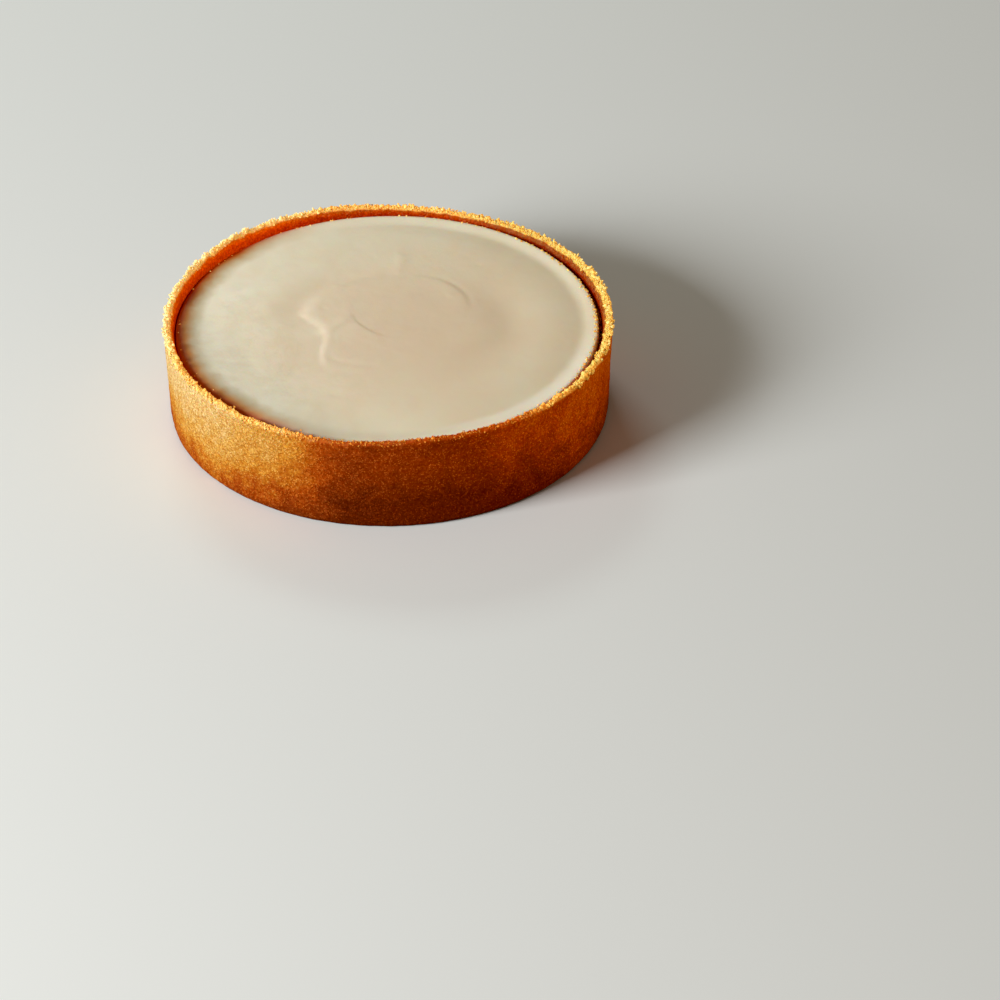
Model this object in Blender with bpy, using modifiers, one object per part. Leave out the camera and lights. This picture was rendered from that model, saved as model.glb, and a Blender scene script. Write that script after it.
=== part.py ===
"""Round baked cheesecake, whole: a crumb crust pressed into a straight-sided cup, and a smooth
cream filling set inside it. Metres, +Z up, origin at the centre of the underside.

The crust is a turned cup whose rim rises, dips and crumbles unevenly. The filling is a turned
disc with a rolled-over edge, a shallow moat inside it, and the traces of a spatula: a turned
ring off centre, a broad swirl round it and a short forked crease.
"""
import math

import bpy
import bmesh
import numpy as np

# ---------------------------------------------------------------- driving dimensions (metres)
CAKE_R = 0.1143            # outer radius at the rim: a 9 inch (229 mm) ring
FOOT_R = 0.1131            # outer radius near the base: the wall draws in slightly
CAKE_H = 0.0508            # mean height of the rim
FLOOR_T = 0.0080           # crumb floor under the filling
WALL_T = 0.0050            # crumb wall at the rim
FOOT_ROUND = 0.0016        # rounded bottom edge
INNER_ROUND = 0.0034       # fillet where the wall meets the floor
FIT_GAP = 0.0003           # clearance between crust and filling
FILL_TOP = 0.0472          # level of the filling's top
EDGE_ROLL = 0.0034         # how far the filling's edge rolls over, inwards
EDGE_DROP = 0.0036         # and how far it drops to the crust
MOAT_R, MOAT_W, MOAT_D = 0.0945, 0.0085, 0.00085    # shallow moat inside the raised lip at the edge
SEGMENTS = 150             # facets round both pieces
SEED = 11

RING_C = (0.0105, 0.0160)  # centre of the turned ring in the top
RING_R = 0.0305            # its radius
RING_D = 0.00035           # its depth
SWIRL_R = 0.0520           # broad swirl round the ring
SWIRL_H = 0.00045          # how far the swirl stands up
# the forked crease: ridges that meet, as (x, y) of their ends
CREASE_ARMS = (((-0.0490, 0.0090), (-0.0320, -0.0110)),
               ((-0.0320, -0.0110), (-0.0180, 0.0100)),
               ((-0.0320, -0.0110), (-0.0335, -0.0300)),
               ((-0.0335, -0.0300), (-0.0280, -0.0480)))
CREASE_H = 0.00050
CREASE_W = 0.0030

# how the pressed rim rises and dips round the cake: (angle in degrees, half width, height)
RIM_WAVES = ((140.0, 34.0, 0.0014), (74.0, 26.0, -0.0024), (12.0, 26.0, 0.0009),
             (249.0, 22.0, -0.0009), (288.0, 20.0, 0.0010), (196.0, 20.0, 0.0004))
RIM_CRUMB = 0.00055        # height of the broken crumbs along the rim, each way
WALL_WAVE = 0.00030        # unevenness of the pressed outer wall


def rounded(cx, cz, r, a0, a1, n):
    """Points of an arc about (cx, cz), angles in degrees from +X, both ends included."""
    out = []
    for i in range(n + 1):
        a = math.radians(a0 + (a1 - a0) * i / n)
        out.append((cx + r * math.cos(a), cz + r * math.sin(a)))
    return out


def bump(x, centre, width):
    """Smooth bell: 1 at the centre, 0.5 about a width away, and 0 far off."""
    return math.exp(-0.693 * ((x - centre) / width) ** 2)


def angle_gap(a, b):
    return (a - b + 180.0) % 360.0 - 180.0


def smooth(a, b, x):
    t = min(1.0, max(0.0, (x - a) / (b - a)))
    return t * t * (3.0 - 2.0 * t)


def rim_lift(deg):
    """Height of the rim above its mean, at an angle round the cake."""
    return sum(h * bump(angle_gap(deg, a), 0.0, w) for a, w, h in RIM_WAVES)


def segment_distance(x, y, p, q):
    dx, dy = q[0] - p[0], q[1] - p[1]
    t = ((x - p[0]) * dx + (y - p[1]) * dy) / (dx * dx + dy * dy)
    t = min(1.0, max(0.0, t))
    return math.hypot(x - p[0] - t * dx, y - p[1] - t * dy)


def top_relief(x, y):
    """Height of the filling's top above FILL_TOP."""
    r = math.hypot(x, y)
    z = -MOAT_D * bump(r, MOAT_R, MOAT_W)
    q = math.hypot(x - RING_C[0], y - RING_C[1])
    z -= RING_D * bump(q, RING_R, 0.0016)
    z += SWIRL_H * (1.0 - smooth(SWIRL_R - 0.006, SWIRL_R + 0.006, q))
    d = min(segment_distance(x, y, p, q2) for p, q2 in CREASE_ARMS)
    z += CREASE_H * bump(d, 0.0, CREASE_W)
    return z


def turned(name, profile, collection):
    """A closed solid turned from a profile of (radius, height) points that runs from the axis
    out and down the outer side back to the axis."""
    mesh = bpy.data.meshes.new(name + "_profile")
    mesh.from_pydata([(r, 0.0, z) for r, z in profile],
                     [(i, i + 1) for i in range(len(profile) - 1)], [])
    ob = bpy.data.objects.new(name, mesh)
    collection.objects.link(ob)
    screw = ob.modifiers.new("turn", "SCREW")
    screw.axis = "Z"
    screw.angle = 2.0 * math.pi
    screw.steps = SEGMENTS
    screw.render_steps = SEGMENTS
    screw.use_merge_vertices = True
    screw.merge_threshold = 0.00001
    screw.use_smooth_shade = True
    bpy.context.view_layer.update()
    graph = bpy.context.evaluated_depsgraph_get()
    solid = bpy.data.meshes.new_from_object(ob.evaluated_get(graph))
    ob.modifiers.remove(screw)
    ob.data = solid
    bpy.data.meshes.remove(mesh)
    solid.name = name
    return ob


def material(name, colour, roughness):
    mat = bpy.data.materials.new(name)
    mat.use_nodes = True
    shader = mat.node_tree.nodes["Principled BSDF"]
    shader.inputs["Base Color"].default_value = (*colour, 1.0)
    shader.inputs["Roughness"].default_value = roughness
    shader.inputs["Metallic"].default_value = 0.0
    return mat


def crust_profile():
    inner = CAKE_R - WALL_T
    pts = [(0.0, FLOOR_T), (0.060, FLOOR_T)]
    # floor to wall
    pts += rounded(inner - INNER_ROUND, FLOOR_T + INNER_ROUND, INNER_ROUND, -90, 0, 3)
    # inner wall, then the slope up to the crumbled crest of the rim
    pts += [(inner, 0.0300), (inner, 0.0425), (inner + 0.0003, CAKE_H - 0.0046),
            (inner + 0.0011, CAKE_H - 0.0020), (inner + 0.0022, CAKE_H - 0.0005),
            (inner + 0.0032, CAKE_H), (CAKE_R - 0.0006, CAKE_H - 0.0003),
            (CAKE_R - 0.0001, CAKE_H - 0.0012), (CAKE_R, CAKE_H - 0.0033)]
    # outer wall, drawing in to the foot
    for z in (0.0360, 0.0200):
        pts.append((FOOT_R + (CAKE_R - FOOT_R) * z / CAKE_H, z))
    pts += rounded(FOOT_R - FOOT_ROUND, FOOT_ROUND, FOOT_ROUND, 0, -90, 2)
    pts.append((0.0, 0.0))
    return pts


def filling_profile():
    side = CAKE_R - WALL_T - FIT_GAP
    low = FLOOR_T + FIT_GAP
    # top, from the middle outwards: ring radii close together where the turned ring lies
    pts = [(0.0, FILL_TOP)]
    for r in (0.016, 0.0265, 0.0300, 0.0335, 0.0430, 0.0550, 0.0760, 0.0900, 0.0965, 0.1010):
        pts.append((r, FILL_TOP))
    # rolled edge
    for i in range(1, 4):
        a = math.radians(90.0 - 90.0 * i / 3)
        pts.append((side - EDGE_ROLL + EDGE_ROLL * math.cos(a),
                    FILL_TOP - EDGE_DROP + EDGE_DROP * math.sin(a)))
    # side and base
    pts += rounded(side - INNER_ROUND, low + INNER_ROUND, INNER_ROUND, 0, -90, 3)
    pts.append((0.0, low))
    return pts


def shape_crust(ob):
    rng = np.random.default_rng(SEED)
    crumb = rng.uniform(-1.0, 1.0, (SEGMENTS, 4))
    for v in ob.data.vertices:
        x, y, z = v.co
        r = math.hypot(x, y)
        if r < CAKE_R - WALL_T - 0.001:
            continue
        deg = math.degrees(math.atan2(y, x)) % 360.0
        k = int(round(deg / 360.0 * SEGMENTS)) % SEGMENTS
        rise = smooth(0.0440, CAKE_H - 0.0012, z)
        # the rim as a whole, then its broken crumbs; below the filling's level the inner wall stays true
        outer = r > CAKE_R - WALL_T * 0.5
        share = smooth(0.0150, CAKE_H - 0.0012, z) if outer else rise
        dz = rim_lift(deg) * share + RIM_CRUMB * crumb[k, 0] * rise
        dr = 0.0
        if outer and z > FOOT_ROUND * 0.5:
            dr += WALL_WAVE * math.sin(math.radians(2.0 * deg + 40.0)) * share
            dr -= 0.00025 * abs(crumb[k, 1]) * rise
        elif rise > 0.0:
            dr += 0.00045 * abs(crumb[k, 2]) * rise
        v.co = (x * (1 + dr / r), y * (1 + dr / r), z + dz)


def shape_filling(ob):
    """The rings of the top are shifted towards the turned ring's centre, all of it inside
    the swirl and none of it at the lip, and then take the top's relief."""
    side = CAKE_R - WALL_T - FIT_GAP
    for v in ob.data.vertices:
        x, y, z = v.co
        if z < FILL_TOP - 1e-6:
            continue
        r = math.hypot(x, y)
        s = 1.0 - smooth(0.036, side - EDGE_ROLL - 0.006, r)
        x += RING_C[0] * s
        y += RING_C[1] * s
        v.co = (x, y, FILL_TOP + top_relief(x, y))


def flatten_base(ob, level):
    """The fan of faces in one flat base becomes a single face."""
    bm = bmesh.new()
    bm.from_mesh(ob.data)
    fan = [f for f in bm.faces if all(abs(v.co.z - level) < 1e-6 for v in f.verts) and f.normal.z < -0.9]
    if len(fan) > 1:
        bmesh.ops.dissolve_faces(bm, faces=fan, use_verts=True)
    bm.normal_update()
    bm.to_mesh(ob.data)
    bm.free()


def main():
    for ob in list(bpy.data.objects):
        bpy.data.objects.remove(ob, do_unlink=True)
    cake = bpy.data.collections.new("cheesecake")
    bpy.context.scene.collection.children.link(cake)

    crust = turned("crumb_crust", crust_profile(), cake)
    shape_crust(crust)
    flatten_base(crust, 0.0)
    crust.data.materials.append(material("crumb_crust", (0.56, 0.27, 0.055), 0.80))

    filling = turned("cream_filling", filling_profile(), cake)
    shape_filling(filling)
    flatten_base(filling, FLOOR_T + FIT_GAP)
    filling.data.materials.append(material("cream_filling", (0.69, 0.58, 0.42), 0.38))

    for ob in (crust, filling):
        ob.data.shade_smooth()
        ob.data.set_sharp_from_angle(angle=math.radians(50.0))
        ob.data.update()


main()
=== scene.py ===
import math

import bpy
import numpy as np
from mathutils import Matrix, Vector


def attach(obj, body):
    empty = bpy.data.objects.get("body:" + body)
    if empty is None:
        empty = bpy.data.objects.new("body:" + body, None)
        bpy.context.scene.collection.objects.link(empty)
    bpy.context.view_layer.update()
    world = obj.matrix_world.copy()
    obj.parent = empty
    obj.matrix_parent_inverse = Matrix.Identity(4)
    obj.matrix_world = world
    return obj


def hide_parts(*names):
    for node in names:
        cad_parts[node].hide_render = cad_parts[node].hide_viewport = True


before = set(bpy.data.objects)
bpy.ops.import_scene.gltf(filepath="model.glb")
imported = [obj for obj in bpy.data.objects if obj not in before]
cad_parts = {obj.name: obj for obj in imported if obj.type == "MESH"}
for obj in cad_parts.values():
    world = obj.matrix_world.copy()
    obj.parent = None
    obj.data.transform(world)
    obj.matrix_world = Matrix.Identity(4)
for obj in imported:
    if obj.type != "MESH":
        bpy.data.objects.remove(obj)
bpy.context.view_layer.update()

# ------------------------------------------------------------------ sizes, metres, as in the solids
CAKE_R, FOOT_R, CAKE_H = 0.1143, 0.1131, 0.0508
WALL_T, FLOOR_T, FIT_GAP = 0.0050, 0.0080, 0.0003
INNER_R = CAKE_R - WALL_T
FILL_TOP = 0.0472
FILL_R = INNER_R - FIT_GAP
MM = 0.001
RIM_WAVES = ((140.0, 34.0, 1.4), (74.0, 26.0, -2.4), (12.0, 26.0, 0.9),
             (249.0, 22.0, -0.9), (288.0, 20.0, 1.0), (196.0, 20.0, 0.4))
RING_C, RING_R = (10.5, 16.0), 30.5          # millimetres


# ------------------------------------------------------------------ number helpers
def smooth(a, b, x):
    t = np.clip((np.asarray(x, float) - a) / (b - a), 0.0, 1.0)
    return t * t * (3.0 - 2.0 * t)


def lerp(a, b, t):
    return a + (b - a) * t


def bell(x, w):
    return np.exp(-0.693 * (np.asarray(x, float) / w) ** 2)


def hash01(ix, iy, iz, seed):
    """A repeatable value in 0..1 for each whole-number cell."""
    h = (ix.astype(np.int64) * 374761393 + iy.astype(np.int64) * 668265263
         + iz.astype(np.int64) * 2147483629 + seed * 1274126177) & 0xFFFFFFFF
    h = ((h ^ (h >> 13)) * 1274126177) & 0xFFFFFFFF
    h = ((h ^ (h >> 15)) * 2246822519) & 0xFFFFFFFF
    return ((h ^ (h >> 16)) & 0xFFFFFF) / float(0xFFFFFF)


def vnoise(p, size, seed):
    """Smooth noise in -1..1 at points p (n, 3), with cells of the given size."""
    q = p / size
    i = np.floor(q).astype(np.int64)
    f = q - i
    u = f * f * f * (f * (f * 6 - 15) + 10)
    out = 0.0
    for dx in (0, 1):
        wx = u[:, 0] if dx else 1 - u[:, 0]
        for dy in (0, 1):
            wy = u[:, 1] if dy else 1 - u[:, 1]
            for dz in (0, 1):
                wz = u[:, 2] if dz else 1 - u[:, 2]
                out = out + wx * wy * wz * hash01(i[:, 0] + dx, i[:, 1] + dy, i[:, 2] + dz, seed)
    return 2.0 * out - 1.0


def fnoise(p, size, seed, octaves=3, gain=0.5):
    total, amp, norm = 0.0, 1.0, 0.0
    for k in range(octaves):
        total = total + amp * vnoise(p + 0.37 * size * k, size / (2 ** k), seed + 17 * k)
        norm += amp
        amp *= gain
    return total / norm


def cells(p, size, seed):
    """Distance to the nearest jittered point, in units of size, and that point's own random value."""
    q = p / size
    i = np.floor(q).astype(np.int64)
    best = np.full(len(p), 9.0)
    who = np.zeros(len(p))
    for dx in (-1, 0, 1):
        for dy in (-1, 0, 1):
            for dz in (-1, 0, 1):
                jx, jy, jz = i[:, 0] + dx, i[:, 1] + dy, i[:, 2] + dz
                cx = jx + hash01(jx, jy, jz, seed)
                cy = jy + hash01(jx, jy, jz, seed + 1)
                cz = jz + hash01(jx, jy, jz, seed + 2)
                d = (q[:, 0] - cx) ** 2 + (q[:, 1] - cy) ** 2 + (q[:, 2] - cz) ** 2
                near = d < best
                best = np.where(near, d, best)
                who = np.where(near, hash01(jx, jy, jz, seed + 3), who)
    return np.sqrt(best), who


def rim_lift(deg):
    """Height of the rim above its mean, in millimetres."""
    out = 0.0
    for a, w, h in RIM_WAVES:
        out = out + h * bell((deg - a + 180.0) % 360.0 - 180.0, w)
    return out


# ------------------------------------------------------------------ mesh helpers
def mesh_object(name, verts, faces, smooth_shade=True):
    """verts (n, 3) array; faces is a list of integer arrays, each (m, 3) or (m, 4)."""
    mesh = bpy.data.meshes.new(name)
    verts = np.ascontiguousarray(verts, np.float32)
    sizes = np.concatenate([np.full(len(f), f.shape[1], np.int32) for f in faces])
    loops = np.concatenate([np.ascontiguousarray(f, np.int32).ravel() for f in faces])
    mesh.vertices.add(len(verts))
    mesh.vertices.foreach_set("co", verts.ravel())
    mesh.loops.add(len(loops))
    mesh.loops.foreach_set("vertex_index", loops)
    mesh.polygons.add(len(sizes))
    starts = np.concatenate([[0], np.cumsum(sizes)[:-1]]).astype(np.int32)
    mesh.polygons.foreach_set("loop_start", starts)
    mesh.polygons.foreach_set("use_smooth", np.full(len(sizes), smooth_shade))
    mesh.update(calc_edges=True)
    mesh.validate()
    ob = bpy.data.objects.new(name, mesh)
    bpy.context.scene.collection.objects.link(ob)
    return ob


def point_value(ob, name, values):
    a = ob.data.attributes.new(name, "FLOAT", "POINT")
    a.data.foreach_set("value", np.ascontiguousarray(values, np.float32))


def ring_faces(rows, cols):
    """Quads between rows of a grid that closes on itself sideways."""
    i = np.arange(rows - 1)[:, None] * cols
    j = np.arange(cols)[None, :]
    k = (j + 1) % cols
    return np.stack([i + j, i + k, i + cols + k, i + cols + j], -1).reshape(-1, 4)


def fan(pole, start, cols, flip):
    j = np.arange(cols)
    k = (j + 1) % cols
    f = np.stack([np.full(cols, pole), start + j, start + k], -1)
    return f[:, ::-1] if flip else f


# ------------------------------------------------------------------ crust
CRUST_COLS = 960


def crust_rows():
    """The turned profile, from the middle of the underside out, up, over the rim and down the hidden inner side:
    radius, height and outward direction."""
    key = [(30, 0.0), (60, 0.0), (84, 0.0), (97, 0.0), (104, 0.0), (108, 0.0), (110.2, 0.0), (111.5, 0.0),
           (112.3, 0.2), (112.85, 0.75), (113.1, 1.6)]
    n = 53
    for i in range(1, n + 1):
        z = 1.6 + (47.2 - 1.6) * i / n
        key.append((113.1 + 1.2 * z / 50.8, z))
    crest = [(114.30, 47.9), (114.30, 48.6), (114.22, 49.3), (114.02, 49.9), (113.68, 50.35), (113.25, 50.65),
             (112.75, 50.78), (112.25, 50.74), (111.80, 50.52), (111.38, 50.15), (111.0, 49.7), (110.65, 49.2),
             (110.35, 48.65), (110.1, 48.1), (109.9, 47.5), (109.72, 46.9), (109.6, 46.3), (109.5, 45.7),
             (109.42, 45.1), (109.36, 44.5), (109.33, 43.9), (109.3, 43.2)]
    key += crest
    key += [(109.3, 40.0), (109.3, 25.0), (109.3, 12.0), (106.0, 8.05), (60.0, 8.05)]
    k = np.array(key, float)
    t = np.gradient(k, axis=0)
    t /= np.linalg.norm(t, axis=1)[:, None]
    normal = np.stack([t[:, 1], -t[:, 0]], -1)       # outward: right of the way along
    return k, normal


def facing_right(deg):
    """1 on the side where the filling has drawn back and loose crumbs lie on the slope, 0 elsewhere."""
    gap = np.abs((np.asarray(deg, float) - 8.0 + 180.0) % 360.0 - 180.0)
    return 1.0 - smooth(42.0, 68.0, gap)


def build_crust():
    k, nrm = crust_rows()
    rows = len(k)
    ang = np.arange(CRUST_COLS) / CRUST_COLS * 2 * np.pi
    deg = np.degrees(ang)
    r = np.repeat(k[:, :1], CRUST_COLS, 1)
    z = np.repeat(k[:, 1:], CRUST_COLS, 1)
    outer = (k[:, 0] > 111.9) & (k[:, 1] > 0.1)
    lift = rim_lift(deg)[None, :]
    share_out = smooth(15.0, 49.6, k[:, 1])[:, None]
    share_in = smooth(44.0, 49.6, k[:, 1])[:, None]
    inner_side = (np.arange(rows) > np.argmax(k[:, 1]))[:, None]
    share = np.where(inner_side, share_in, share_out)
    z = z + lift * share
    wave = 0.30 * np.sin(np.radians(2.0 * deg + 40.0))[None, :]
    r = r + np.where(outer[:, None] & ~inner_side, wave * share_out, 0.0)

    # where each point lies on the true round, for noise that closes on itself
    cx, cy = np.cos(ang)[None, :], np.sin(ang)[None, :]
    P = np.stack([r * cx, r * cy, z], -1).reshape(-1, 3)
    shape = r.shape

    def N(size, seed, octaves=2):
        return fnoise(P, size, seed, octaves).reshape(shape)

    top = smooth(45.5, 49.5, k[:, 1])[:, None]
    crest = np.where(inner_side, smooth(43.6, 47.5, k[:, 1])[:, None], smooth(47.0, 49.8, k[:, 1])[:, None])
    wall = np.where(outer[:, None] & ~inner_side, smooth(0.2, 2.5, k[:, 1])[:, None], 0.0)
    foot = np.where(outer[:, None] & ~inner_side, 1.0 - smooth(1.0, 5.0, k[:, 1])[:, None], 0.0)

    # ragged height of the crest: broken clumps with gaps between them
    around = np.stack([CAKE_R / MM * cx[0], CAKE_R / MM * cy[0], np.zeros(CRUST_COLS)], -1)
    jag = 0.62 * fnoise(around, 10.0, 41, 2) + 0.40 * fnoise(around, 4.6, 43, 2)
    d, w = cells(around, 6.0, 47)
    jag = jag + 0.70 * (1.0 - smooth(0.05, 0.60, d)) * (w - 0.35)
    d, w = cells(around, 3.0, 49)
    jag = jag + 0.85 * np.clip(1.0 - 1.9 * d, 0.0, 1.0) * (w - 0.20)
    jag = np.clip(jag, -1.1, 1.6)
    z = z + jag[None, :] * crest

    # lumps of crumb, from pressed grains on the wall to loose clumps on the crest
    d1, w1 = cells(P, 3.1, 51)
    d2, w2 = cells(P, 1.9, 57)
    lump1 = ((1.0 - d1 * d1 * 2.2) * (0.35 + 0.65 * w1)).reshape(shape)
    lump2 = ((1.0 - d2 * d2 * 2.2) * (0.35 + 0.65 * w2)).reshape(shape)
    off = (0.12 * lump1 + 0.16 * lump2) * wall
    off = off + 0.18 * N(26.0, 61, 2) * wall + 0.10 * N(7.0, 63, 2) * wall
    # the loose clumps lie on the crest, and on the slope inside it on the right; elsewhere
    # the slope is the smoother baked inner face
    run = np.concatenate([[0.0], np.cumsum(np.linalg.norm(np.diff(k, axis=0), axis=1))])
    s = (run - run[int(np.argmax(k[:, 1]))])[:, None] * np.ones(shape)
    side = facing_right(deg)[None, :] * np.ones(shape)
    edge_noise = N(4.0, 67, 2)
    loose_in = lerp(1.0 - smooth(0.7, 2.8, s + 0.9 * edge_noise), 1.0 - smooth(4.4, 5.6, s + 0.8 * edge_noise), side)
    loose_out = 1.0 - smooth(0.9, 2.6, -s + 0.8 * edge_noise)
    loose = np.where(s > 0, loose_in, loose_out)
    depth = np.where(s > 0, smooth(0.6, 5.6, s + 0.5 * edge_noise), 0.0)
    off = off + (0.52 * lump1 + 0.34 * lump2 - 0.20) * crest * (0.20 + 0.80 * loose)
    # a few pits and nicks in the pressed wall, more of them near the foot
    d3, w3 = cells(P, 7.0, 71)
    pit = ((1.0 - smooth(0.0, 0.20, d3)) * (w3 > 0.62)).reshape(shape)
    off = off - (0.45 + 0.35 * foot) * pit * wall
    off = off - 0.30 * foot * (0.5 + 0.5 * N(4.0, 73, 2))
    r = r + off * nrm[:, :1]
    z = z + off * nrm[:, 1:]
    # the underside: flat where it rests, with shallow pores between the crumbs
    under = (k[:, 1] < 0.05)[:, None] & (np.arange(rows) < 12)[:, None]
    pores = (0.10 + 0.25 * smooth(-0.1, 0.7, N(5.0, 81, 2)))
    z = np.where(under, np.where(k[:, 0:1] > 109.0, pores, pores * 0.6), np.maximum(z, 0.02))
    x, y = r * cx, r * cy
    verts = np.stack([x, y, z], -1).reshape(-1, 3)
    poles = np.array([[0.0, 0.0, 0.15], [0.0, 0.0, 8.05]])
    verts = np.concatenate([verts, poles]) * MM
    quads = ring_faces(rows, CRUST_COLS)
    n = rows * CRUST_COLS
    faces = [quads, fan(n, 0, CRUST_COLS, True), fan(n + 1, (rows - 1) * CRUST_COLS, CRUST_COLS, False)]
    ob = mesh_object("crumb_crust_shell", verts, faces)
    # where the crumb is loose and pale, and how far down the baked inner face each point lies
    point_value(ob, "loose", np.concatenate([loose.ravel(), [0.0, 0.0]]))
    point_value(ob, "depth", np.concatenate([depth.ravel(), [0.0, 0.0]]))
    return ob, np.stack([x, y, z], -1) * MM, k, loose, depth


# ------------------------------------------------------------------ loose crumbs
def icosphere(level):
    t = (1 + 5 ** 0.5) / 2
    v = [(-1, t, 0), (1, t, 0), (-1, -t, 0), (1, -t, 0), (0, -1, t), (0, 1, t), (0, -1, -t), (0, 1, -t),
         (t, 0, -1), (t, 0, 1), (-t, 0, -1), (-t, 0, 1)]
    f = [(0, 11, 5), (0, 5, 1), (0, 1, 7), (0, 7, 10), (0, 10, 11), (1, 5, 9), (5, 11, 4), (11, 10, 2), (10, 7, 6),
         (7, 1, 8), (3, 9, 4), (3, 4, 2), (3, 2, 6), (3, 6, 8), (3, 8, 9), (4, 9, 5), (2, 4, 11), (6, 2, 10),
         (8, 6, 7), (9, 8, 1)]
    v = [np.array(p, float) / np.linalg.norm(p) for p in v]
    for _ in range(level):
        mid, g = {}, []

        def half(a, b):
            key = (min(a, b), max(a, b))
            if key not in mid:
                m = v[a] + v[b]
                v.append(m / np.linalg.norm(m))
                mid[key] = len(v) - 1
            return mid[key]
        for a, b, c in f:
            ab, bc, ca = half(a, b), half(b, c), half(c, a)
            g += [(a, ab, ca), (b, bc, ab), (c, ca, bc), (ab, bc, ca)]
        f = g
    return np.array(v), np.array(f)


def crumb_shapes(rng, level, count):
    """Angular broken grains: a ball with several flats cut off it and a rough surface."""
    base, faces = icosphere(level)
    out = []
    for _ in range(count):
        v = base.copy()
        for _ in range(7):
            n = rng.normal(size=3)
            n /= np.linalg.norm(n)
            d = rng.uniform(0.35, 0.8)
            over = v @ n - d
            v -= np.where(over > 0, over, 0.0)[:, None] * n
        v *= 1.0 + rng.uniform(-0.13, 0.13, (len(v), 1))
        v *= rng.uniform(0.72, 1.25, 3)
        out.append(v - v.mean(0))
    return out, faces


def random_turns(rng, n):
    q = rng.normal(size=(n, 4))
    q /= np.linalg.norm(q, axis=1)[:, None]
    w, x, y, z = q.T
    return np.stack([1 - 2 * (y * y + z * z), 2 * (x * y - z * w), 2 * (x * z + y * w),
                     2 * (x * y + z * w), 1 - 2 * (x * x + z * z), 2 * (y * z - x * w),
                     2 * (x * z - y * w), 2 * (y * z + x * w), 1 - 2 * (x * x + y * y)], -1).reshape(n, 3, 3)


def scatter(name, rng, centres, sizes, level, smooth_shade, tints):
    shapes, faces = crumb_shapes(rng, level, 24)
    pick = rng.integers(0, len(shapes), len(centres))
    V = np.stack(shapes)[pick]
    T = random_turns(rng, len(centres))
    V = np.einsum("nij,nkj->nki", T, V) * sizes[:, None, None] + centres[:, None, :]
    nv = V.shape[1]
    F = (faces[None] + (np.arange(len(centres)) * nv)[:, None, None]).reshape(-1, 3)
    ob = mesh_object(name, V.reshape(-1, 3), [F], smooth_shade)
    point_value(ob, "tint", np.repeat(tints, nv))
    return ob


def on_grid(grid, row, col):
    """Position and outward direction on the displaced crust, at fractional rows and columns."""
    rows, cols = grid.shape[:2]
    r0 = np.clip(np.floor(row).astype(int), 0, rows - 2)
    c0 = np.floor(col).astype(int) % cols
    fr, fc = (row - r0)[:, None], (col - np.floor(col))[:, None]
    a, b = grid[r0, c0], grid[r0, (c0 + 1) % cols]
    c, d = grid[r0 + 1, c0], grid[r0 + 1, (c0 + 1) % cols]
    p = lerp(lerp(a, b, fc), lerp(c, d, fc), fr)
    n = np.cross(b - a, c - a)
    n /= np.maximum(np.linalg.norm(n, axis=1)[:, None], 1e-12)
    return p, n


# ------------------------------------------------------------------ filling
def polyline_distance(X, Y, pts):
    best = np.full(X.shape, 1e9)
    along = np.zeros(X.shape)
    total, done = 0.0, 0.0
    for a, b in zip(pts[:-1], pts[1:]):
        total += math.dist(a, b)
    for a, b in zip(pts[:-1], pts[1:]):
        dx, dy = b[0] - a[0], b[1] - a[1]
        length = math.hypot(dx, dy)
        t = np.clip(((X - a[0]) * dx + (Y - a[1]) * dy) / length ** 2, 0, 1)
        d = np.hypot(X - a[0] - t * dx, Y - a[1] - t * dy)
        near = d < best
        best = np.where(near, d, best)
        along = np.where(near, (done + t * length) / total, along)
        done += length
    return best, along


# the spatula's last broad turn, about the ring's centre: angle, distance to the middle of the slope
# that rises inwards, depth of the low line outside it, and half widths inwards and outwards
SWIRL = ((-60, 52.0, 0.40, 10, 13), (-47, 52.0, 0.48, 10.5, 13), (-35, 51.5, 0.56, 11, 13), (-22, 48.0, 0.60, 11, 13),
         (-9, 43.5, 0.60, 10.5, 12.5), (5, 39.5, 0.48, 9.5, 12), (17, 36.0, 0.26, 8, 11), (40, 33.0, 0.06, 7, 10),
         (70, 30.0, 0.03, 6, 9), (100, 30.5, 0.16, 5, 9), (112, 31.5, 0.26, 4.8, 9), (124, 33.3, 0.34, 4.6, 9),
         (142, 37.5, 0.42, 4.6, 9), (159, 44.4, 0.46, 4.5, 9), (171, 50.3, 0.47, 4.2, 8.5), (182, 54.2, 0.46, 4.0, 8),
         (188, 55.6, 0.44, 3.7, 8.5), (194, 52.6, 0.42, 3.3, 12), (203, 48.9, 0.38, 2.9, 20), (213, 50.4, 0.33, 2.6, 24),
         (218, 53.1, 0.30, 2.5, 24), (223, 59.0, 0.26, 2.3, 22), (230, 67.4, 0.20, 2.2, 18), (237, 73.4, 0.11, 2.4, 16),
         (250, 64.0, 0.06, 6, 14), (270, 56.0, 0.10, 9, 13), (300, 52.0, 0.40, 10, 13))


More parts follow.
